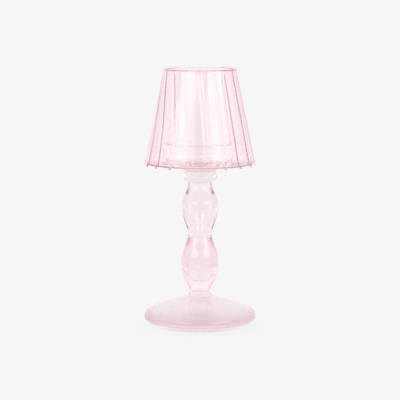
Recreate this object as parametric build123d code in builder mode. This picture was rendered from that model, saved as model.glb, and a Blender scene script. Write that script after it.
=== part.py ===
from build123d import *
import math
import os

# A glass candle lamp: pink foot and stem, clear saucer with a tea light cup, and a loose pink ribbed shade.
# Millimetres, +Z up. The origin is on the table, under the middle of the foot.

# Foot: a low solid dome with a thick rounded rim, standing on a flat ring, a little hollow underneath.
foot_diameter = 91.6
foot_height = 23.7
foot_rim_level = 7.0
foot_rim_undercut = 3.6
foot_heel_diameter = 81.0
foot_heel_level = 2.4
foot_shoulder_diameter = 83.0
foot_shoulder_level = 13.0
foot_top_diameter = 19.0
foot_top_slope = 17.5
foot_ring_diameter = 73.8
foot_ring_width = 2.2
foot_hollow_height = 2.4

# Button: the solid bead of glass that joins the stem to the foot. Its side leans out at first.
button_height = 3.5
button_lean = 14.0

# Stem: two bulges with a waist between them, heights counted from the stem's lower end.
stem_height = 90.7
stem_bottom_diameter = 16.6
lower_bulge_diameter = 30.8
lower_bulge_level = 22.8
waist_diameter = 19.2
waist_level = 47.5
upper_bulge_diameter = 29.9
upper_bulge_level = 72.3
stem_top_diameter = 18.8

# How far the stem's outline is held upright at each of these places.
neck_pull = 6.0
lower_bulge_pull = 12.5
waist_pull = 6.5
upper_bulge_pull = 12.5
upper_bulge_top_pull = 5.5
stem_top_pull = 7.0

# Air chamber blown inside the stem, which follows the outside.
chamber_floor_level = 11.0
chamber_floor_diameter = 11.0
chamber_lower_diameter = 13.0
chamber_waist_diameter = 6.8
chamber_upper_diameter = 15.6
chamber_top_diameter = 12.4

# Knop: the clear bead between the stem and the saucer.
knop_height = 9.0
knop_bottom_diameter = 20.8
knop_diameter = 27.8
knop_widest_level = 4.4
knop_top_diameter = 24.4

# Saucer: the clear plate that carries the cup and the shade.
saucer_diameter = 87.0
saucer_hub_diameter = 32.0
saucer_hub_height = 2.4
saucer_dish_rise = 3.8
saucer_rim_thickness = 1.4
saucer_rim_round = 0.6

# Tea light cup.
cup_bore = 47.2
cup_wall = 2.4
cup_height = 15.4
cup_floor = 2.0
cup_heel_round = 2.2
cup_inner_round = 1.5
cup_lip_round = 1.1

# Shade: panels that sink in a little between outward ribs, which turn slightly on the way up.
shade_height = 75.9
shade_top_diameter = 59.2
shade_wall = 2.5
shade_clearance = 0.4
rib_count = 18
rib_thickness = 1.3
rib_foot_width = 2.0
rib_foot_drop = 2.6
rib_phase = -82.7
rib_twist = -10.0
hem_sink = 0.6
top_sink = 0.2

# Levels and radii that follow from the sizes above.
button_bottom = foot_height
stem_bottom = button_bottom + button_height
stem_top = stem_bottom + stem_height
saucer_bottom = stem_top + knop_height
saucer_dish = saucer_bottom + saucer_hub_height
saucer_rim = saucer_dish + saucer_dish_rise
saucer_top = saucer_rim + saucer_rim_thickness
cup_top = saucer_top + cup_height
shade_top = saucer_top + shade_height
saucer_radius = saucer_diameter / 2
cup_radius = cup_bore / 2 + cup_wall
hem_radius = saucer_radius + shade_clearance + rib_thickness
top_radius = shade_top_diameter / 2
rib_step = 360 / rib_count

# How far a cutting shape runs past the face that it cuts through.
overrun = 1.0

os.makedirs("parts", exist_ok=True)


def swell(low, low_pull, high, high_pull):
    """A curve that leaves low and reaches high upright, and is held upright over each pull."""
    Bezier(low, (low[0], low[1] + low_pull), (high[0], high[1] - high_pull), high)


def rounded_shoulder(slope, rim):
    """A curve that carries the end of a slope on and turns it upright where it reaches the rim."""
    shoulder = slope @ 1
    heading = slope % 1
    corner = shoulder + heading * ((rim[0] - shoulder.X) / heading.X)
    Bezier(shoulder, (corner.X, corner.Y), rim)


def shade_measure(at_hem, at_top, height):
    """A size of the shade at a height above the hem, which changes evenly on the way up."""
    return at_hem + (at_top - at_hem) * height / shade_height


def around(radius, angle):
    """Point at a radius and an angle in degrees."""
    return (radius * math.cos(math.radians(angle)), radius * math.sin(math.radians(angle)))


def ribbed_outline(height):
    """Outline of the shade's outside at a height above the hem: one shallow arc from rib to rib."""
    ridge = shade_measure(hem_radius, top_radius, height)
    panel = ridge - shade_measure(hem_sink, top_sink, height)
    start = rib_phase + rib_twist * height / shade_height
    for rib in range(rib_count):
        left = start + rib_step * rib
        middle = left + rib_step / 2
        ThreePointArc(around(ridge, left), around(panel, middle), around(ridge, left + rib_step))


# Foot
with BuildPart() as foot:
    with BuildSketch(Plane.XZ):
        with BuildLine():
            rim = (foot_diameter / 2, foot_rim_level)
            ring_outside = foot_ring_diameter / 2
            ring_inside = ring_outside - foot_ring_width
            slope = math.radians(foot_top_slope)
            fall = (math.cos(slope), -math.sin(slope))
            Line((0, foot_height), (foot_top_diameter / 2, foot_height))
            dome = TangentArc(
                (foot_top_diameter / 2, foot_height),
                (foot_shoulder_diameter / 2, foot_shoulder_level),
                tangent=fall,
            )
            rounded_shoulder(dome, rim)
            heel = (foot_heel_diameter / 2, foot_heel_level)
            Bezier(rim, (rim[0], foot_rim_undercut), heel, (ring_outside, 0))
            Line((ring_outside, 0), (ring_inside, 0))
            TangentArc((0, foot_hollow_height), (ring_inside, 0), tangent=(1, 0))
            Line((0, foot_hollow_height), (0, foot_height))
        make_face()
    revolve(axis=Axis.Z)
foot.part.label = "foot"
export_step(foot.part, "parts/foot.step")

# Button between foot and stem
with BuildPart() as foot_button:
    with BuildSketch(Plane.XZ):
        with BuildLine():
            lean = math.radians(button_lean)
            base = (foot_top_diameter / 2, button_bottom)
            neck = (stem_bottom_diameter / 2, stem_bottom)
            Line((0, button_bottom), base)
            TangentArc(base, neck, tangent=(math.sin(lean), math.cos(lean)))
            Line(neck, (0, stem_bottom))
            Line((0, stem_bottom), (0, button_bottom))
        make_face()
    revolve(axis=Axis.Z)
foot_button.part.label = "foot_button"
export_step(foot_button.part, "parts/foot_button.step")

# Stem with its air chamber, which is open at the top and closed there by the knop
with BuildPart() as stem:
    with BuildSketch(Plane.XZ):
        with BuildLine():
            bottom = (stem_bottom_diameter / 2, stem_bottom)
            lower_bulge = (lower_bulge_diameter / 2, stem_bottom + lower_bulge_level)
            waist = (waist_diameter / 2, stem_bottom + waist_level)
            upper_bulge = (upper_bulge_diameter / 2, stem_bottom + upper_bulge_level)
            top = (stem_top_diameter / 2, stem_top)
            Line((0, stem_bottom), bottom)
            swell(bottom, neck_pull, lower_bulge, lower_bulge_pull)
            swell(lower_bulge, lower_bulge_pull, waist, waist_pull)
            swell(waist, waist_pull, upper_bulge, upper_bulge_pull)
            swell(upper_bulge, upper_bulge_top_pull, top, stem_top_pull)
            Line(top, (0, stem_top))
            Line((0, stem_top), (0, stem_bottom))
        make_face()
        with BuildLine():
            floor = (chamber_floor_diameter / 2, stem_bottom + chamber_floor_level)
            lower_chamber = (chamber_lower_diameter / 2, stem_bottom + lower_bulge_level)
            chamber_waist = (chamber_waist_diameter / 2, stem_bottom + waist_level)
            upper_chamber = (chamber_upper_diameter / 2, stem_bottom + upper_bulge_level)
            mouth = (chamber_top_diameter / 2, stem_top)
            Line((0, floor[1]), floor)
            TangentArc(lower_chamber, floor, tangent=(0, -1))
            swell(lower_chamber, lower_bulge_pull, chamber_waist, waist_pull)
            swell(chamber_waist, waist_pull, upper_chamber, upper_bulge_pull)
            swell(upper_chamber, upper_bulge_top_pull, mouth, stem_top_pull)
            Line(mouth, (0, stem_top))
            Line((0, stem_top), (0, floor[1]))
        make_face(mode=Mode.SUBTRACT)
    revolve(axis=Axis.Z)
stem.part.label = "stem"
export_step(stem.part, "parts/stem.step")

# Knop
with BuildPart() as knop:
    with BuildSketch(Plane.XZ):
        with BuildLine():
            belly = (knop_diameter / 2, stem_top + knop_widest_level)
            Line((0, stem_top), (knop_bottom_diameter / 2, stem_top))
            TangentArc(belly, (knop_bottom_diameter / 2, stem_top), tangent=(0, -1))
            TangentArc(belly, (knop_top_diameter / 2, saucer_bottom), tangent=(0, 1))
            Line((knop_top_diameter / 2, saucer_bottom), (0, saucer_bottom))
            Line((0, saucer_bottom), (0, stem_top))
        make_face()
    revolve(axis=Axis.Z)
knop.part.label = "knop"
export_step(knop.part, "parts/knop.step")

# Saucer: its flat top carries the cup and the shade's hem
with BuildPart() as saucer:
    with BuildSketch(Plane.XZ):
        with BuildLine():
            Polyline(
                (0, saucer_bottom),
                (knop_top_diameter / 2, saucer_bottom),
                (saucer_hub_diameter / 2, saucer_dish),
                (saucer_radius, saucer_rim),
                (saucer_radius, saucer_top),
                (0, saucer_top),
                close=True,
            )
        make_face()
    revolve(axis=Axis.Z)
    outer_edges = saucer.edges().filter_by(GeomType.CIRCLE).sort_by(SortBy.RADIUS)[-2:]
    fillet(outer_edges, radius=saucer_rim_round)
saucer.part.label = "saucer"
export_step(saucer.part, "parts/saucer.step")

# Tea light cup
with BuildPart() as candle_cup:
    with BuildSketch(Plane.XY.offset(saucer_top)):
        Circle(cup_radius)
    extrude(amount=cup_height)
    with BuildSketch(Plane.XY.offset(saucer_top + cup_floor)):
        Circle(cup_bore / 2)
    extrude(amount=cup_height, mode=Mode.SUBTRACT)
    lip = candle_cup.edges().group_by(Axis.Z)[-1]
    fillet(lip, radius=cup_lip_round)
    heel = candle_cup.edges().group_by(Axis.Z)[0]
    fillet(heel, radius=cup_heel_round)
    well = candle_cup.faces().filter_by(Plane.XY).sort_by(Axis.Z)[1]
    fillet(well.edges(), radius=cup_inner_round)
candle_cup.part.label = "candle_cup"
export_step(candle_cup.part, "parts/candle_cup.step")

# Shade: it stands on the saucer by its hem, and its rib feet hang down round the saucer's rim
with BuildPart() as shade:
    with BuildSketch(Plane.XY.offset(saucer_top - rib_foot_drop)):
        with BuildLine():
            ribbed_outline(-rib_foot_drop)
        make_face()
    with BuildSketch(Plane.XY.offset(shade_top)):
        with BuildLine():
            ribbed_outline(shade_height)
        make_face()
    loft(ruled=True)
    for height in (-overrun, shade_height + overrun):
        outside = shade_measure(hem_radius - hem_sink, top_radius - top_sink, height)
        with BuildSketch(Plane.XY.offset(saucer_top + height)):
            Circle(outside - shade_wall)
    loft(ruled=True, mode=Mode.SUBTRACT)
    gap_angle = math.radians(rib_step / 2) - math.asin(rib_foot_width / 2 / hem_radius)
    gap_reach = hem_radius + rib_thickness
    with BuildSketch(Plane.XY.offset(saucer_top - rib_foot_drop - overrun)):
        Circle(saucer_radius + shade_clearance)
        with PolarLocations(0, rib_count, start_angle=rib_phase + rib_step / 2):
            Polygon(
                (0, 0),
                (gap_reach, -gap_reach * math.tan(gap_angle)),
                (gap_reach, gap_reach * math.tan(gap_angle)),
                align=None,
            )
    extrude(amount=rib_foot_drop + overrun, mode=Mode.SUBTRACT)
shade.part.label = "shade"
export_step(shade.part, "parts/shade.step")
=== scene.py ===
# %% [markdown]
# This lesson dresses a glass candle lamp: a pink foot and stem, a clear bead, saucer and tea light cup,
# and a loose pink shade with upright ribs. The solid model is loaded first and stays where it is, and every
# glass piece below is drawn in its place with finer surfaces than a solid model has.

# %% Load the frame
import math

import bmesh
import bpy
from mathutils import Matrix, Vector


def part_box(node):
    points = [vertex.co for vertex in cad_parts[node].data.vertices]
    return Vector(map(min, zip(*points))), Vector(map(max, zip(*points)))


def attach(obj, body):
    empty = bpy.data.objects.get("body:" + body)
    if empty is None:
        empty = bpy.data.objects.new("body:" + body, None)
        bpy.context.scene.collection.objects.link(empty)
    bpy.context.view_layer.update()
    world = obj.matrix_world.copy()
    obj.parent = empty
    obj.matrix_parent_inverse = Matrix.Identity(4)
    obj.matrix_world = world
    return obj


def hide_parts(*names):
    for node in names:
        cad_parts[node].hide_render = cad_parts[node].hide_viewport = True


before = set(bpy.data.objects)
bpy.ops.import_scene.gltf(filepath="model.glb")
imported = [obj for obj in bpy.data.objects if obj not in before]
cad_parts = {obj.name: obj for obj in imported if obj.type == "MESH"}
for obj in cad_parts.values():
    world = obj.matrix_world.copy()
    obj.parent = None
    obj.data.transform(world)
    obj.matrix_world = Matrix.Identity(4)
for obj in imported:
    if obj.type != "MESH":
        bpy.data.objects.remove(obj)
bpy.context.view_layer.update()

print("pieces in the frame:", sorted(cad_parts))

# %% [markdown]
# The lamp is small, so its sizes are written in millimetres and the finished meshes are scaled to metres.
# What the frame already knows, such as the height of each piece, is read from it and isn't written twice.

# %% Read the sizes
MM = 0.001


def levels(node):
    """Lowest and highest level of a piece and its largest radius, in millimetres."""
    low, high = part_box(node)
    return low.z / MM, high.z / MM, high.x / MM


_, foot_top, foot_radius = levels("foot")
button_bottom, button_top, _ = levels("foot_button")
stem_bottom, stem_top, _ = levels("stem")
knop_bottom, knop_top, knop_radius = levels("knop")
saucer_bottom, saucer_top, saucer_radius = levels("saucer")
cup_bottom, cup_top, cup_radius = levels("candle_cup")
shade_bottom, shade_top, _ = levels("shade")
print(f"foot {2 * foot_radius:.1f} mm across, lamp {shade_top:.1f} mm high")

# %% [markdown]
# Almost every piece is round, so it starts as half of its outline and is spun about the upright axis, as a
# glassmaker turns the pipe. The outline could be one long list of points, but then no size in it could be
# changed by itself. Here it is put together from a few kinds of curve: an arc that leaves a point in a
# known direction, a curve with two pull points, and a soft curve with one.

# %% Curves for the outlines
STRAIGHT = 0.000001


def arc(start, end, heading, count=24):
    """Points of the arc that leaves start along heading and ends at end."""
    start, end, heading = Vector(start), Vector(end), Vector(heading).normalized()
    side = Vector((-heading.y, heading.x))
    chord = end - start
    turn = 2 * math.atan2(chord.dot(side), chord.dot(heading))
    if abs(turn) < STRAIGHT:
        return [tuple(start), tuple(end)]
    radius = chord.length / (2 * math.sin(turn / 2))
    points = []
    for step in range(count + 1):
        angle = turn * step / count
        points.append(tuple(start + radius * (heading * math.sin(angle) + side * (1 - math.cos(angle)))))
    return points


def bezier(first, second, third, fourth, count=16):
    """Points of a curve from first to fourth that leaves towards second and arrives from third."""
    corners = (first, second, third, fourth)
    points = []
    for step in range(count + 1):
        s = step / count
        shares = ((1 - s) ** 3, 3 * s * (1 - s) ** 2, 3 * s * s * (1 - s), s ** 3)
        points.append(tuple(sum(w * p[axis] for w, p in zip(shares, corners)) for axis in (0, 1)))
    return points


def swell(low, low_pull, high, high_pull, count=40):
    """A curve that leaves low and reaches high upright, and is held upright over each pull."""
    return bezier(low, (low[0], low[1] + low_pull), (high[0], high[1] - high_pull), high, count)


def soft_curve(start, pull, end, count=16):
    """A curve from start to end that is drawn towards one pull point."""
    start, pull, end = Vector(start), Vector(pull), Vector(end)
    shares = [step / count for step in range(count + 1)]
    return [tuple(start.lerp(pull, s).lerp(pull.lerp(end, s), s)) for s in shares]


print("outline curves: arc, bezier, swell, soft_curve")

# %% [markdown]
# Glass that has been in the fire has no sharp corner. A bevel of the finished mesh could round all corners
# alike, but each lip and rim of this lamp has a round of its own, so the corners are rounded in the
# outline. One point is kept on the straight at each side of a round, so that the flat glass beside it
# stays flat when its shading is smooth.

# %% Rounded corners
HOLD_SHARE, HOLD_MOST = 0.3, 0.08


def rounded(before, corner, after, radius, count=8):
    """A corner that the fire has rounded, with one point kept on the straight at each side."""
    back = (Vector(before) - Vector(corner)).normalized()
    on = (Vector(after) - Vector(corner)).normalized()
    reach = radius / math.tan(back.angle(on) / 2)
    hold = min(HOLD_SHARE * radius, HOLD_MOST)
    first = Vector(corner) + back * reach
    last = Vector(corner) + on * reach
    curve = arc(first, last, -back, count)
    return [tuple(first + back * hold)] + curve + [tuple(last + on * hold)]


print(f"corner helper: rounded, with points held at most {HOLD_MOST} mm beside a round")

# %% [markdown]
# Turning an outline about an axis is what the spin operator does. A cylinder with scaled rings could be
# brought to the same shape, but the outline shows every curve as it is. A spin leaves a stack of points at
# the axis, so doubles are merged, and its faces may look inwards, so the normals are worked out again. A
# hair of air is left between meshes that meet, because two glass faces in the same place would flicker.

# %% Spin an outline
ROUND_STEPS = 192
MERGE_REACH = 0.0001
HAIR = 0.03


def spun(outline, steps=ROUND_STEPS, closed=False):
    """A mesh made by turning an outline of radius and level about the upright axis."""
    shape = bmesh.new()
    line = [shape.verts.new((radius, 0, level)) for radius, level in outline]
    pairs = list(zip(line, line[1:]))
    if closed:
        pairs.append((line[-1], line[0]))
    for first, second in pairs:
        shape.edges.new((first, second))
    bmesh.ops.spin(
        shape, geom=shape.verts[:] + shape.edges[:], cent=(0, 0, 0), axis=(0, 0, 1),
        angle=math.tau, steps=steps, use_merge=True,
    )
    bmesh.ops.remove_doubles(shape, verts=shape.verts, dist=MERGE_REACH)
    bmesh.ops.recalc_face_normals(shape, faces=shape.faces)
    return shape


print(f"a spin has {ROUND_STEPS} steps, and meshes that meet keep {HAIR} mm of air")

# %% [markdown]
# A finished mesh is handed to the frame in one place. It is scaled to metres, gets its glass, rides on the
# body that carries it, and stands in for the solid pieces that it was drawn over. The object itself stays
# at the origin with its place in its mesh, because a pattern on Object coordinates would slide otherwise.

# %% Place a piece
def place(shape, name, nodes, body, finish):
    """Turns a mesh in millimetres into a piece of the lamp that stands for nodes of the frame."""
    bmesh.ops.scale(shape, vec=(MM, MM, MM), verts=shape.verts)
    mesh = bpy.data.meshes.new(name)
    shape.to_mesh(mesh)
    shape.free()
    mesh.shade_smooth()
    piece = bpy.data.objects.new(name, mesh)
    bpy.context.scene.collection.objects.link(piece)
    mesh.materials.append(finish)
    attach(piece, body)
    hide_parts(*nodes)
    print(f"{name}: {len(mesh.polygons)} faces")


print("placed meshes are scaled by", MM)

# %% [markdown]
# Glass that was made by hand is never quite even. Two soft noises stand for that: one wanders over the
# polish, and one, drawn out upright, makes the surface faintly wavy. Painted images could do the same, but
# each piece would need a map of its surface for them. Noise on Object coordinates needs none and stays on
# the piece wherever it goes.

# %% Polish and waves
SMEAR_SCALE, SMEAR_DETAIL = 60, 3
WAVE_DETAIL = 1
WAVE_STRETCH = (1, 1, 0.35)


def added(tree, kind, values=None, operation=None):
    """A new shader node with some of its inputs set, and its operation where it does sums."""
    node = tree.nodes.new(kind)
    if operation:
        node.operation = operation
    for socket, value in (values or {}).items():
        node.inputs[socket].default_value = value
    return node


def smeared(tree, where, roughness):
    """Roughness that wanders over the surface between two values."""
    smear = added(tree, "ShaderNodeTexNoise", {"Scale": SMEAR_SCALE, "Detail": SMEAR_DETAIL})
    polish = added(tree, "ShaderNodeMapRange", {"To Min": roughness[0], "To Max": roughness[1]})
    tree.links.new(where.outputs["Object"], smear.inputs["Vector"])
    tree.links.new(smear.outputs["Fac"], polish.inputs["Value"])
    return polish.outputs["Result"]


def wavy(tree, where, wave_scale, wave_height):
    """Normals of a surface with faint waves that are drawn out upright."""
    stretch = added(tree, "ShaderNodeMapping", {"Scale": WAVE_STRETCH})
    wave = added(tree, "ShaderNodeTexNoise", {"Scale": wave_scale, "Detail": WAVE_DETAIL})
    bump = added(tree, "ShaderNodeBump", {"Strength": 1.0, "Distance": wave_height})
    tree.links.new(where.outputs["Object"], stretch.inputs["Vector"])
    tree.links.new(stretch.outputs["Vector"], wave.inputs["Vector"])
    tree.links.new(wave.outputs["Fac"], bump.inputs["Height"])
    return bump.outputs["Normal"]


print("hand work: smears at a scale of", SMEAR_SCALE, "and waves stretched by", WAVE_STRETCH)

# %% [markdown]
# Glass is a surface that bends light and a body that takes some of it. The tint could be painted on the
# surface, but then thick and thin glass would look alike. Here most of it is inside: the body swallows
# green and blue on the way through, so thick edges come out pinker than thin walls, as they do in the real
# lamp. Each finish is mixed from this recipe where it is first needed.

# %% Glass
REFRACTIVE_INDEX = 1.47
POLISHED = (0.0, 0.003)


def glass(name, skin, inside, density, wave_scale, wave_height, roughness=POLISHED):
    """Clear or tinted glass with a slightly wavy surface."""
    finish = bpy.data.materials.new(name)
    finish.use_nodes = True
    tree = finish.node_tree
    surface = tree.nodes["Principled BSDF"]
    surface.inputs["Base Color"].default_value = (*skin, 1)
    surface.inputs["Transmission Weight"].default_value = 1.0
    surface.inputs["IOR"].default_value = REFRACTIVE_INDEX
    where = added(tree, "ShaderNodeTexCoord")
    tree.links.new(smeared(tree, where, roughness), surface.inputs["Roughness"])
    tree.links.new(wavy(tree, where, wave_scale, wave_height), surface.inputs["Normal"])
    body = added(tree, "ShaderNodeVolumeAbsorption", {"Color": (*inside, 1), "Density": density})
    tree.links.new(body.outputs["Volume"], tree.nodes["Material Output"].inputs["Volume"])
    print(f"{name}: density {density}, roughness {roughness[0]} to {roughness[1]}")
    return finish


print("refractive index of the glass:", REFRACTIVE_INDEX)

# %% [markdown]
# The foot looks even and milky, so its glass is satin and not polished. The stem's glass could be used for
# it with another roughness, but the foot is solid and far thicker than the other pieces and would come out
# too pink. So its body is a paler mix.

# %% Foot glass
SATIN = (0.16, 0.2)
foot_glass = glass(
    "foot_glass", skin=(0.997, 0.93, 0.954), inside=(0.95, 0.07, 0.41), density=1.6,
    wave_scale=40, wave_height=0.002 * MM, roughness=SATIN,
)

# %% [markdown]
# The underside of the foot was ground and is matt inside the ring that the foot stands on. A second
# material on those faces could show that. Here the glass asks where on the foot it is, and is rougher low
# down and inside the ring, so one material serves the whole piece.

# %% Ground underside
GROUND_REACH, GROUND_LEVEL = 35.5 * MM, 2.8 * MM
GROUND_ROUGHNESS = 0.26


def place_on_foot(tree):
    """Distance from the upright axis and level of a place on the foot."""
    where = tree.nodes["Texture Coordinate"]
    parts = added(tree, "ShaderNodeSeparateXYZ")
    flat = added(tree, "ShaderNodeCombineXYZ")
    reach = added(tree, "ShaderNodeVectorMath", operation="LENGTH")
    tree.links.new(where.outputs["Object"], parts.inputs["Vector"])
    tree.links.new(parts.outputs["X"], flat.inputs["X"])
    tree.links.new(parts.outputs["Y"], flat.inputs["Y"])
    tree.links.new(flat.outputs["Vector"], reach.inputs[0])
    return reach.outputs["Value"], parts.outputs["Z"]


def grind_underside(tree, reach, level):
    """Adds roughness where the glass is inside the ring and low down."""
    roughness = tree.nodes["Principled BSDF"].inputs["Roughness"]
    near = added(tree, "ShaderNodeMath", {1: GROUND_REACH}, "LESS_THAN")
    low = added(tree, "ShaderNodeMath", {1: GROUND_LEVEL}, "LESS_THAN")
    both = added(tree, "ShaderNodeMath", operation="MULTIPLY")
    matt = added(tree, "ShaderNodeMath", {1: GROUND_ROUGHNESS}, "MULTIPLY_ADD")
    tree.links.new(reach, near.inputs[0])
    tree.links.new(level, low.inputs[0])
    tree.links.new(near.outputs["Value"], both.inputs[0])
    tree.links.new(low.outputs["Value"], both.inputs[1])
    tree.links.new(both.outputs["Value"], matt.inputs[0])
    tree.links.new(roughness.links[0].from_socket, matt.inputs[2])
    tree.links.new(matt.outputs["Value"], roughness)


foot_tree = foot_glass.node_tree
foot_reach, foot_level = place_on_foot(foot_tree)
grind_underside(foot_tree, foot_reach, foot_level)
print(f"ground within {GROUND_REACH / MM:.1f} mm of the axis and below {GROUND_LEVEL / MM:.1f} mm")

# %% [markdown]
# The rim of the foot is pinker than its middle. The rim could be a ring of deeper glass, but its joint
# would show as a line. Here the tint of the skin grows softly towards the rim.

# %% Pinker rim
RIM_TINT_FROM, RIM_TINT_TO = 43.2 * MM, 45.6 * MM
RIM_SKIN = (1.0, 0.83, 0.895)
# The sockets of a Mix node share their names, so they are chosen by number
MIX_SHARE, COLOUR_FROM, COLOUR_TO, COLOUR_OUT = 0, 6, 7, 2


def tint_rim(tree, reach):
    """Makes the skin pinker towards the rim."""
    skin = tree.nodes["Principled BSDF"].inputs["Base Color"]
    rim = added(tree, "ShaderNodeMapRange", {"From Min": RIM_TINT_FROM, "From Max": RIM_TINT_TO})
    tint = added(tree, "ShaderNodeMix", {COLOUR_FROM: skin.default_value, COLOUR_TO: (*RIM_SKIN, 1)})
    tint.data_type = "RGBA"
    tree.links.new(reach, rim.inputs["Value"])
    tree.links.new(rim.outputs["Result"], tint.inputs[MIX_SHARE])
    tree.links.new(tint.outputs[COLOUR_OUT], skin)


tint_rim(foot_tree, foot_reach)
print(f"skin pinker from {RIM_TINT_FROM / MM:.1f} mm out, fully at {RIM_TINT_TO / MM:.1f} mm")

# %% [markdown]
# The foot is a low solid dome. Its top runs down to a rounded rim, the rim curls under to the narrow flat
# ring that it stands on, and inside the ring the underside is a little hollow. A squashed sphere would come
# near it, but rim, ring and hollow have curves of their own, so the half outline is drawn and spun. The
# foot is a mesh of its own because its glass is another mix than the stem's.

# %% Foot
RIM_LEVEL = 7.0
RIM_UNDERCUT = 3.6
HEEL = (40.5, 2.4)
SHOULDER = (41.5, 13.0)
FOOT_TOP_RADIUS = 9.5
FOOT_SLOPE = math.radians(17.5)
RING_OUTSIDE, RING_INSIDE = 36.9, 34.7
HOLLOW_TOP = 2.4
# A point this far inside an edge keeps the flat face beyond it flat in smooth shading
EDGE_HOLD = 0.1


def carried_to(slope, radius):
    """Where the straight line on from the end of a slope reaches a radius."""
    (r0, z0), (r1, z1) = slope[-2:]
    return (radius, z1 + (z1 - z0) / (r1 - r0) * (radius - r1))


def foot_outline():
    """From the middle of the hollow down to the ring, round the rim and up the dome to the button."""
    top = foot_top - HAIR
    rim = (foot_radius, RIM_LEVEL)
    fall = (math.cos(FOOT_SLOPE), -math.sin(FOOT_SLOPE))
    vault = arc((0, HOLLOW_TOP), (RING_INSIDE, 0), (1, 0))
    heel = bezier((RING_OUTSIDE, 0), HEEL, (foot_radius, RIM_UNDERCUT), rim)
    dome = arc((FOOT_TOP_RADIUS, top), SHOULDER, fall)
    shoulder = soft_curve(rim, carried_to(dome, foot_radius), SHOULDER)
    flat_top = [(FOOT_TOP_RADIUS - EDGE_HOLD, top), (0, top)]
    return vault + heel + shoulder[1:] + dome[::-1][1:] + flat_top


place(spun(foot_outline()), "pink_foot", ("foot",), "stand", foot_glass)

# %% [markdown]
# A short solid button joins the stem to the foot. It was a drop of hot glass, so its side draws in softly.
# It could be a cylinder with rounded edges, but one arc that leaves the foot at a lean is nearer to it. The
# button has no mesh of its own: its outline is the first stretch of the stem's.

# %% Button outline
BUTTON_LEAN = math.radians(14)
BOTTOM_RADIUS = 8.3


def button_outline():
    """Up the side of the button, from the foot to the stem."""
    lean = (math.sin(BUTTON_LEAN), math.cos(BUTTON_LEAN))
    return arc((FOOT_TOP_RADIUS, button_bottom), (BOTTOM_RADIUS, button_top), lean)


print(f"button {button_top - button_bottom:.1f} mm high, drawn in to {BOTTOM_RADIUS} mm")

# %% [markdown]
# Button and stem are polished pink glass. A tinted skin would make the whole stem one flat pink, so nearly
# all of the tint is in the body here: the sides, where light takes the longest way through the wall, turn
# pink, and the middle stays paler.

# %% Pink glass
pink_glass = glass(
    "pink_glass", skin=(1.0, 0.99, 0.995), inside=(0.885, 0.07, 0.41), density=10.0,
    wave_scale=40, wave_height=0.002 * MM,
)

# %% [markdown]
# The stem was blown: two bulges with a waist between them, and an air chamber inside that follows the
# outside. Two stretched spheres could be joined to make the bulges, but their seam would have to be
# smoothed. Here each stretch is a swelling curve that starts and ends upright, so the stretches flow into
# each other. Levels are counted from the stem's lower end.

# %% Stem outline
BULGE_LOW = (15.4, 22.8)
WAIST = (9.6, 47.5)
BULGE_HIGH = (14.95, 72.3)
TOP_RADIUS = 9.4
NECK_PULL, LOW_PULL, WAIST_PULL = 6.0, 12.5, 6.5
HIGH_PULL, HIGH_TOP_PULL, TOP_PULL = 12.5, 5.5, 7.0
CHAMBER_FLOOR = (5.5, 11.0)
CHAMBER_LOW, CHAMBER_WAIST, CHAMBER_HIGH, CHAMBER_TOP = 6.5, 3.4, 7.8, 6.2


def raised(radius, level):
    """A point of the stem whose level is counted from the stem's lower end."""
    return (radius, stem_bottom + level)


def bulged(low, waist, high, top):
    """A wall from the low bulge over the waist and the high bulge to the top."""
    line = swell(low, LOW_PULL, waist, WAIST_PULL)
    line += swell(waist, WAIST_PULL, high, HIGH_PULL)[1:]
    line += swell(high, HIGH_TOP_PULL, top, TOP_PULL)[1:]
    return line


def stem_outline():
    """The outside from the bottom up, and the chamber from the top down."""
    end = stem_top - HAIR
    low = raised(*BULGE_LOW)
    outside = swell((BOTTOM_RADIUS, stem_bottom), NECK_PULL, low, LOW_PULL)
    outside += bulged(low, raised(*WAIST), raised(*BULGE_HIGH), (TOP_RADIUS, end))[1:]
    floor = raised(*CHAMBER_FLOOR)
    low_wall = raised(CHAMBER_LOW, BULGE_LOW[1])
    waist_wall = raised(CHAMBER_WAIST, WAIST[1])
    high_wall = raised(CHAMBER_HIGH, BULGE_HIGH[1])
    chamber = arc(low_wall, floor, (0, -1))[::-1]
    chamber += bulged(low_wall, waist_wall, high_wall, (CHAMBER_TOP, end))[1:]
    return outside + chamber[::-1] + [(0, floor[1])]


print(f"stem {stem_top - stem_bottom:.1f} mm high, {len(stem_outline())} points in its outline")

# %% [markdown]
# Fine upright lines show in the low bulge. They come from narrow ribs on the chamber's wall, which the
# thick glass in front of them magnifies. The ribs could be cut with a boolean, but drawing the points of
# the spun wall inwards keeps the mesh even. They fade out towards the waist. Button and stem are melted
# together, so they are spun as one body: a joint drawn between them would show as a mirror.

# %% Stem
FLUTES = 14
FLUTE_DEPTH = 0.045
FLUTE_SHARPNESS = 4
AXIS_CLEAR = 1.0


def clamped(value):
    """A value kept between 0 and 1."""
    return max(0.0, min(1.0, value))


def fluted(shape):
    """Draws the low chamber's wall in along narrow upright ribs."""
    floor = stem_bottom + CHAMBER_FLOOR[1]
    for point in shape.verts:
        radius = math.hypot(point.co.x, point.co.y)
        if AXIS_CLEAR < radius < BOTTOM_RADIUS and point.co.z > floor:
            angle = math.atan2(point.co.y, point.co.x)
            rise = (point.co.z - stem_bottom - BULGE_LOW[1]) / (WAIST[1] - BULGE_LOW[1])
            depth = FLUTE_DEPTH * (1 - clamped(rise))
            wave = 1 - depth * abs(math.cos(FLUTES / 2 * angle)) ** FLUTE_SHARPNESS
            point.co.x *= wave
            point.co.y *= wave


stand_outline = [(0, button_bottom), (FOOT_TOP_RADIUS - EDGE_HOLD, button_bottom)]
stand_outline += button_outline() + stem_outline()
stand_shape = spun(stand_outline)
fluted(stand_shape)
place(stand_shape, "pink_stand", ("foot_button", "stem"), "stand", pink_glass)

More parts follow.
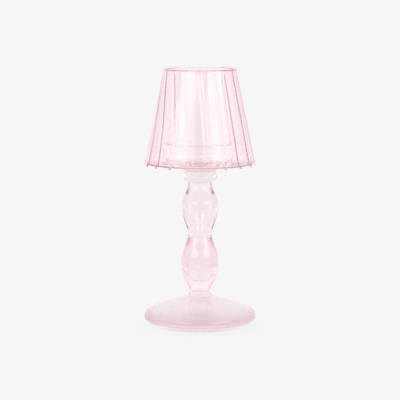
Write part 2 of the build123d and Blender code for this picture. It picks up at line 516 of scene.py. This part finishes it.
# %% [markdown]
# Knop, saucer and cup are clear glass. Clear glass is never quite without colour, and with none at all its
# edges would vanish against the pale room, so its body takes a little light too. Its waves are finer and
# stronger than those of the pink glass, which gives the bead its wavy look.

# %% Clear glass
clear_glass = glass(
    "clear_glass", skin=(1, 1, 1), inside=(0.75, 0.5, 0.5), density=12.0,
    wave_scale=160, wave_height=0.01 * MM,
)

# %% [markdown]
# The knop is a clear bead between the stem and the saucer. A squashed sphere would have the same curve
# above and below, but this bead is drawn in more at its foot, so it is two arcs that meet at its widest
# place.

# %% Knop outline
KNOP_FOOT, KNOP_NECK = 10.4, 12.2
KNOP_RISE = 4.4
# The clear pieces hold such a point a little further inside
FLAT_HOLD = 0.3


def knop_outline():
    """From the middle of the lower face round the belly to the saucer."""
    low = knop_bottom + HAIR
    belly = (knop_radius, knop_bottom + KNOP_RISE)
    under = arc(belly, (KNOP_FOOT, low), (0, -1))[::-1]
    over = arc(belly, (KNOP_NECK, knop_top), (0, 1))
    return [(0, low), (KNOP_FOOT - FLAT_HOLD, low)] + under + over[1:]


print(f"knop {2 * knop_radius:.1f} mm across, {knop_top - knop_bottom:.1f} mm high")

# %% [markdown]
# The saucer is a clear plate with a flat top. Its rim is rounded by the fire, and its underside slopes in
# to the knop. A flat cylinder with its lower edge scaled in would do for the slope, but an outline takes
# the different rounds of hub and rim as well.

# %% Saucer outline
HUB = (16.0, 2.4)
HUB_ROUND = 2.0
DISH_RISE = 6.2
RIM_ROUND = 0.6
CUP_SEAT = 24.4


def saucer_outline():
    """From the knop over the rim and across the flat top to the foot of the cup."""
    top = saucer_top - HAIR
    neck = (KNOP_NECK, saucer_bottom)
    hub = (HUB[0], saucer_bottom + HUB[1])
    rim_low = (saucer_radius, saucer_bottom + DISH_RISE)
    rim_high = (saucer_radius, top)
    line = rounded(neck, hub, rim_low, HUB_ROUND)
    line += rounded(hub, rim_low, rim_high, RIM_ROUND)
    line += rounded(rim_low, rim_high, (CUP_SEAT, top), RIM_ROUND)
    return line + [(CUP_SEAT + FLAT_HOLD, top), (CUP_SEAT, top)]


print(f"saucer {2 * saucer_radius:.1f} mm across, {saucer_top - saucer_bottom:.1f} mm high")

# %% [markdown]
# The cup holds the tea light. It is a straight wall on a thin floor, with a soft heel and a lip that is
# rounder inside than outside, so that the lip shows as one fine line. It is melted to the saucer, and the
# saucer to the knop, so the three are spun as one body of clear glass. Apart, they would show a mirror at
# each joint.

# %% Cup
CUP_WALL = 2.4
CUP_FLOOR = 2.0
CUP_HEEL, CUP_HEEL_PULL = 2.4, 0.8
CUP_LIP_OUTSIDE_ROUND, CUP_LIP_INSIDE_ROUND = 0.4, 1.5
CUP_WELL_ROUND = 1.5


def cup_outline():
    """From the foot of the cup up the outside, over the lip and down to the middle of the well."""
    bore = cup_radius - CUP_WALL
    floor = cup_bottom + CUP_FLOOR
    heel_pull = (cup_radius, saucer_top + CUP_HEEL_PULL)
    heel_top = (cup_radius, saucer_top + CUP_HEEL)
    lip_out, lip_in, well = (cup_radius, cup_top), (bore, cup_top), (bore, floor)
    line = soft_curve((CUP_SEAT, saucer_top), heel_pull, heel_top)[1:]
    line += rounded(heel_top, lip_out, lip_in, CUP_LIP_OUTSIDE_ROUND)
    line += rounded(lip_out, lip_in, well, CUP_LIP_INSIDE_ROUND)
    line += rounded(lip_in, well, (0, floor), CUP_WELL_ROUND)
    return line + [(0, floor)]


clear_shape = spun(knop_outline() + saucer_outline() + cup_outline())
place(clear_shape, "clear_top", ("knop", "saucer", "candle_cup"), "stand", clear_glass)

# %% [markdown]
# The shade is the thinnest of the pink pieces, and still as pink as the stem, so it is the deepest mix.
# A little of its tint is in the skin, which colours the flat panels that are seen straight on, and the body
# makes its ribs and edges pinker.

# %% Shade glass
shade_glass = glass(
    "shade_glass", skin=(0.998, 0.975, 0.98), inside=(0.885, 0.07, 0.41), density=18.0,
    wave_scale=60, wave_height=0.004 * MM,
)

# %% [markdown]
# The shade is a cone of glass that stands on the saucer, open at its top and bottom. A cone with a solidify
# modifier would give it an even wall, but this wall is thicker at the hem, its lip is rounder inside than
# outside, and its hem is divided beside the saucer's rim, where the feet begin. So the section of the wall
# is drawn as a closed outline, and spun with enough steps to give every rib the same points.

# %% Shade outline
RIBS = 18
STEPS_PER_RIB = 20
WALL_STEPS = 36
RIB_REACH = 1.3
SHADE_CLEARANCE = 0.4
HEM_WALL, TOP_WALL = 3.1, 2.7
SHADE_TOP_RADIUS = 29.6
HEM_ROUND = 0.5
LIP_OUTSIDE_ROUND, LIP_INSIDE_ROUND = 0.7, 1.55
hem_level = saucer_top
seat_radius = saucer_radius + SHADE_CLEARANCE
hem_ridge = seat_radius + RIB_REACH
shade_height = shade_top - hem_level


def along(start, end):
    """Even points between the ends of a straight wall."""
    return [tuple(Vector(start).lerp(Vector(end), step / WALL_STEPS)) for step in range(1, WALL_STEPS)]


def shade_outline():
    """The cone's wall with its rounded lip and hem, from the hem up the outside and down the inside."""
    seat = (seat_radius, hem_level)
    outer_low, outer_high = (hem_ridge, hem_level), (SHADE_TOP_RADIUS, shade_top)
    inner_low = (hem_ridge - HEM_WALL, hem_level)
    inner_high = (SHADE_TOP_RADIUS - TOP_WALL, shade_top)
    line = [seat]
    line += rounded(seat, outer_low, outer_high, HEM_ROUND)
    line += along(outer_low, outer_high)
    line += rounded(outer_low, outer_high, inner_high, LIP_OUTSIDE_ROUND)
    line += rounded(outer_high, inner_high, inner_low, LIP_INSIDE_ROUND)
    line += along(inner_high, inner_low)
    line += rounded(inner_high, inner_low, seat, HEM_ROUND)
    return line


shade_shape = spun(shade_outline(), steps=RIBS * STEPS_PER_RIB, closed=True)
print(f"shade {shade_height:.1f} mm high, ridges {hem_ridge:.1f} mm out at the hem")

# %% [markdown]
# Small feet hang from the hem at each rib, reach over the saucer's rim and keep the shade in the middle.
# They could be beads that are added one by one, but then each would meet the hem in a seam. Here the hem's
# own faces near each rib are extruded downwards. The points of the cone are crowded towards the ribs later,
# so the distance from a rib is already measured in the crowded way.

# %% Shade feet
CROWD = 1.8
FOOT_WIDTH = 2.0
FOOT_FLARE = 0.4
rib_step = math.tau / RIBS
foot_drop = hem_level - shade_bottom


def rib_turn(angle):
    """Where an angle lies in its share of a rib, from -0.5 to 0.5 with 0 at the rib."""
    return (angle / rib_step + 0.5) % 1 - 0.5


def rib_distance(turn):
    """Crowded distance from a rib, from 0 at the rib to 1 in the middle of a panel."""
    return (abs(turn) * 2) ** CROWD


def grow_feet(shape):
    """Pulls the hem's outer faces at each rib down into small feet."""
    chosen = []
    for face in shape.faces:
        middle = face.calc_center_median()
        radius = math.hypot(middle.x, middle.y)
        away = rib_distance(rib_turn(math.atan2(middle.y, middle.x)))
        near = away * rib_step / 2 * radius < FOOT_WIDTH / 2
        if near and radius > seat_radius and middle.z < hem_level + HEM_ROUND / 2:
            chosen.append(face)
    grown = bmesh.ops.extrude_face_region(shape, geom=chosen)
    for tip in [item for item in grown["geom"] if isinstance(item, bmesh.types.BMVert)]:
        flare = 1 + FOOT_FLARE / math.hypot(tip.co.x, tip.co.y)
        tip.co.x *= flare
        tip.co.y *= flare
        tip.co.z = max(tip.co.z - foot_drop, shade_bottom)
    print("feet made of", len(chosen), "hem faces,", f"{foot_drop:.1f} mm long")


grow_feet(shade_shape)

# %% [markdown]
# The real shade was blown into a ribbed mould: outside, shallow panels meet at rounded ridges, and inside,
# a rib stands behind each ridge. Loft or boolean would build every rib apart. Here a few rules say how far
# a point of the plain cone moves: the outside sinks between the ribs, the inside rises at the ribs, and
# both fade out towards the lip, because the fire has rounded it.

# %% Ribs and panels
HEM_SINK, TOP_SINK = 0.6, 0.2
RIDGE_ROUND = 0.3
INNER_RIB, INNER_RIB_WIDTH = 0.62, 4.6
LIP_FADE = 5.0


def cone(at_hem, at_top, level):
    """A size that changes evenly from the hem to the top."""
    return at_hem + (at_top - at_hem) * (level - hem_level) / shade_height


def panel_depth(away):
    """How deep a panel lies, from 0 at the rounded ridge to nearly 1 in its middle."""
    soft = math.hypot(away, RIDGE_ROUND) - RIDGE_ROUND
    return 1 - (1 - soft) ** 2


def inner_rib(away, radius):
    """How far a rib stands in from the wall."""
    share = min(1.0, away * rib_step / 2 * radius / (INNER_RIB_WIDTH / 2))
    return INNER_RIB * (1 + math.cos(math.pi * share)) / 2


def lip_fade(level):
    """1 over the wall, and falling softly to 0 at the lip."""
    share = clamped((shade_top - level) / LIP_FADE)
    return share * share * (3 - 2 * share)


print(f"panels up to {HEM_SINK} mm deep, ribs {INNER_RIB} mm high and {INNER_RIB_WIDTH} mm wide")

# %% [markdown]
# The shade was turned a little while it was drawn out, more on one side than on the other, so its ribs
# lean by different angles. A twist modifier would turn all sides alike. Here every point is moved by the
# rules above, crowded towards its rib, and then turned by a lean that grows with its height.

# %% Shade
RIB_PHASE = math.radians(-82.7)
TWIST, SWAY = math.radians(-10.7), math.radians(11.8)
LEAN_CURVE = 2.2


def leaned(angle, level):
    """An angle on the wall, turned by the lean that it has at a level."""
    height = max(0.0, (level - hem_level) / shade_height)
    return angle + (TWIST + SWAY * math.cos(angle)) * height ** LEAN_CURVE


def ribbed(shape):
    """Sinks the panels, raises the ribs and turns the wall a little on the way up."""
    for point in shape.verts:
        level = point.co.z
        radius = math.hypot(point.co.x, point.co.y)
        angle = math.atan2(point.co.y, point.co.x)
        outer = cone(hem_ridge, SHADE_TOP_RADIUS, level)
        outside = clamped(1 - (outer - radius) / cone(HEM_WALL, TOP_WALL, level))
        turn = rib_turn(angle)
        away = rib_distance(turn)
        sink = cone(HEM_SINK, TOP_SINK, level) * panel_depth(away)
        radius -= lip_fade(level) * (outside * sink + (1 - outside) * inner_rib(away, radius))
        crowded = angle + (math.copysign(away / 2, turn) - turn) * rib_step
        angle = leaned(crowded + RIB_PHASE, level)
        point.co.x = radius * math.cos(angle)
        point.co.y = radius * math.sin(angle)


ribbed(shade_shape)
place(shade_shape, "pink_shade", ("shade",), "shade", shade_glass)

# %% [markdown]
# The camera stands well back with a long lens, a little above the lamp, as the photograph was taken. A wide
# lens close by could frame the lamp as well, but it would make the foot's ellipse too round.

# %% Camera
CAMERA_PLACE = Vector((0, -1.462, 0.291))
CAMERA_AIM = Vector((0, 0, 0.103))
LENS, SENSOR = 162, 36


def facing(start, aim):
    """The turn that makes a camera or a light at start look at aim."""
    return (aim - start).to_track_quat("-Z", "Y").to_euler()


camera_data = bpy.data.cameras.new("camera")
camera_data.lens = LENS
camera_data.sensor_width = SENSOR
camera = bpy.data.objects.new("camera", camera_data)
camera.location = CAMERA_PLACE
camera.rotation_euler = facing(CAMERA_PLACE, CAMERA_AIM)
bpy.context.scene.collection.objects.link(camera)
bpy.context.scene.camera = camera
print(f"camera {(CAMERA_AIM - CAMERA_PLACE).length:.3f} m from its aim")

# %% [markdown]
# The lamp stands in a pale room without a horizon. A white room under strong light could look like that,
# but the light would fall on the lamp too. So floor and room glow by themselves, and how brightly depends
# on what looks: the camera sees one pale grey, and light that comes off or through glass sees a room with
# brighter and darker sides, which gives the glass its edges. A Light Path node tells these rays apart.

# %% Pale grey
PALE = 0.922
LEVEL_FROM, LEVEL_TO, LEVEL_OUT = 2, 3, 0


def rays(tree, *kinds):
    """1 for rays of the named kinds, and 0 for the rest."""
    path = added(tree, "ShaderNodeLightPath")
    found = path.outputs[kinds[0]]
    for kind in kinds[1:]:
        either = added(tree, "ShaderNodeMath", operation="MAXIMUM")
        tree.links.new(found, either.inputs[0])
        tree.links.new(path.outputs[kind], either.inputs[1])
        found = either.outputs["Value"]
    return found


def by_way_of_glass(tree, level):
    """A level for rays that come off or through glass, and the pale grey for the rest."""
    choose = added(tree, "ShaderNodeMix", {LEVEL_FROM: PALE})
    tree.links.new(rays(tree, "Is Glossy Ray", "Is Transmission Ray"), choose.inputs[MIX_SHARE])
    tree.links.new(level, choose.inputs[LEVEL_TO])
    return choose.outputs[LEVEL_OUT]


print("the camera sees a grey of", PALE)

# %% [markdown]
# The floor could be paper alone, but then it would be darker than the room and end in a horizon. Here it
# glows in the room's grey for whatever looks at it, and a small share of paper keeps the lamp's soft
# shadow. By way of the glass it is a little brighter out at the sides, which lights the edges of the glass.

# %% Floor finish
PAPER = 0.99
FLOOR_SHADOW_SHARE = 0.1
SIDE_FROM, SIDE_TO = 0.25, 0.7
SIDE_FLOOR = 1.06


def floor_level(tree):
    """How brightly the floor glows: the pale grey, and more at the sides."""
    where = added(tree, "ShaderNodeTexCoord")
    parts = added(tree, "ShaderNodeSeparateXYZ")
    aside = added(tree, "ShaderNodeMath", operation="ABSOLUTE")
    lift = added(tree, "ShaderNodeMapRange", {"From Min": SIDE_FROM, "From Max": SIDE_TO})
    lift.inputs["To Min"].default_value = PALE
    lift.inputs["To Max"].default_value = SIDE_FLOOR
    tree.links.new(where.outputs["Object"], parts.inputs["Vector"])
    tree.links.new(parts.outputs["X"], aside.inputs[0])
    tree.links.new(aside.outputs["Value"], lift.inputs["Value"])
    return lift.outputs["Result"]


def floor_finish():
    """Paper that mostly glows for whatever looks at it."""
    finish = bpy.data.materials.new("pale_floor")
    finish.use_nodes = True
    tree = finish.node_tree
    tree.nodes.remove(tree.nodes["Principled BSDF"])
    paper = added(tree, "ShaderNodeBsdfDiffuse", {"Color": (PAPER, PAPER, PAPER, 1)})
    glow = added(tree, "ShaderNodeEmission")
    tree.links.new(by_way_of_glass(tree, floor_level(tree)), glow.inputs["Strength"])
    share = added(tree, "ShaderNodeMath", {1: 1 - FLOOR_SHADOW_SHARE}, "MULTIPLY")
    looked_at = rays(tree, "Is Camera Ray", "Is Glossy Ray", "Is Transmission Ray")
    tree.links.new(looked_at, share.inputs[0])
    mix = added(tree, "ShaderNodeMixShader")
    tree.links.new(share.outputs["Value"], mix.inputs["Fac"])
    tree.links.new(paper.outputs["BSDF"], mix.inputs[1])
    tree.links.new(glow.outputs["Emission"], mix.inputs[2])
    tree.links.new(mix.outputs["Shader"], tree.nodes["Material Output"].inputs["Surface"])
    return finish


print("share of paper in the floor:", FLOOR_SHADOW_SHARE)

# %% [markdown]
# The floor itself is one large square just below the lamp. It is stage and no piece of the lamp.

# %% Pale floor
FLOOR_REACH = 6
FLOOR_DROP = 0.0004


def pale_floor():
    """A large pale plane under the lamp."""
    shape = bmesh.new()
    bmesh.ops.create_grid(shape, x_segments=1, y_segments=1, size=FLOOR_REACH)
    mesh = bpy.data.meshes.new("floor")
    shape.to_mesh(mesh)
    shape.free()
    mesh.materials.append(floor_finish())
    floor = bpy.data.objects.new("floor", mesh)
    floor.location.z = -FLOOR_DROP
    bpy.context.scene.collection.objects.link(floor)


pale_floor()
print("floor", 2 * FLOOR_REACH, "m wide")

# %% [markdown]
# Glass shows the room more than itself, so the room is drawn with care. An empty grey world would leave
# the lamp without edges, and a room full of cards would cost many objects. Here the world is one ramp from
# behind the camera to behind the lamp: dim in front, bright at both sides, pale grey behind, and everywhere
# a little brighter with height. The camera itself sees plain pale grey.

# %% Pale world
FRONT_LIGHT = 0.52
SIDE_LIGHT = 1.12
FRONT_END, SIDE_START, SIDE_END, BACK_START = 0.25, 0.42, 0.58, 0.7
SKY_FROM, SKY_TO = 0.1, 0.4
SKY_LIGHT = 1.2
AROUND = [
    (0.0, FRONT_LIGHT), (FRONT_END, FRONT_LIGHT),
    (SIDE_START, SIDE_LIGHT), (SIDE_END, SIDE_LIGHT),
    (BACK_START, PALE), (1.0, PALE),
]


def light_around(tree, depth):
    """The ramp of light from behind the camera to behind the lamp."""
    turn = added(tree, "ShaderNodeMapRange", {"From Min": -1})
    ramp = added(tree, "ShaderNodeValToRGB")
    tree.links.new(depth, turn.inputs["Value"])
    tree.links.new(turn.outputs["Result"], ramp.inputs["Fac"])
    stops = ramp.color_ramp.elements
    for position, _ in AROUND[1:-1]:
        stops.new(position)
    for stop, (_, level) in zip(stops, AROUND):
        stop.color = (level, level, level, 1)
    return ramp.outputs["Color"]


def studio_world():
    """Dim behind the camera, bright at the sides, pale behind the lamp, and brighter with height."""
    world = bpy.data.worlds.new("studio")
    world.use_nodes = True
    tree = world.node_tree
    where = added(tree, "ShaderNodeTexCoord")
    parts = added(tree, "ShaderNodeSeparateXYZ")
    tree.links.new(where.outputs["Generated"], parts.inputs["Vector"])
    sky = added(tree, "ShaderNodeMapRange", {"From Min": SKY_FROM, "From Max": SKY_TO})
    sky.inputs["To Min"].default_value = 1.0
    sky.inputs["To Max"].default_value = SKY_LIGHT
    tree.links.new(parts.outputs["Z"], sky.inputs["Value"])
    lit = added(tree, "ShaderNodeMath", operation="MULTIPLY")
    tree.links.new(light_around(tree, parts.outputs["Y"]), lit.inputs[0])
    tree.links.new(sky.outputs["Result"], lit.inputs[1])
    room = tree.nodes["Background"]
    room.inputs["Color"].default_value = (1, 1, 1, 1)
    tree.links.new(by_way_of_glass(tree, lit.outputs["Value"]), room.inputs["Strength"])
    bpy.context.scene.world = world


studio_world()
print("world:", [f"{level} at {position}" for position, level in AROUND])

# %% [markdown]
# Two wide soft boxes stand to the left and right of the camera. Their reflections are the white patches on
# the shade and in the stem. Point lights would only make dots there. Light finds its way through many
# walls of glass, so it is followed over many bounces, because the lamp would have black spots otherwise.
# The Standard view shows the colours as they are written.

# %% Soft boxes
BOX_WATTS = 2.6
BOX_AWAY, BOX_LEVEL = 1.1, 0.5
BOX_WIDTH, BOX_HEIGHT = 0.9, 0.4
BOX_AIM = Vector((0, 0, 0.12))
LEFT_TURN, RIGHT_TURN = math.radians(-38), math.radians(47)
GLASS_BOUNCES = 256


def soft_box(name, turn):
    """A wide area light that faces the lamp's middle."""
    data = bpy.data.lights.new(name, "AREA")
    data.shape = "RECTANGLE"
    data.size = BOX_WIDTH
    data.size_y = BOX_HEIGHT
    data.energy = BOX_WATTS
    box = bpy.data.objects.new(name, data)
    box.location = (BOX_AWAY * math.sin(turn), -BOX_AWAY * math.cos(turn), BOX_LEVEL)
    box.rotation_euler = facing(box.location, BOX_AIM)
    box.visible_diffuse = False
    bpy.context.scene.collection.objects.link(box)


soft_box("left_soft_box", LEFT_TURN)
soft_box("right_soft_box", RIGHT_TURN)
bpy.context.scene.cycles.max_bounces = GLASS_BOUNCES
bpy.context.scene.cycles.transmission_bounces = GLASS_BOUNCES
bpy.context.scene.cycles.glossy_bounces = GLASS_BOUNCES
bpy.context.scene.view_settings.view_transform = "Standard"
print("soft boxes:", [light.name for light in bpy.data.lights])
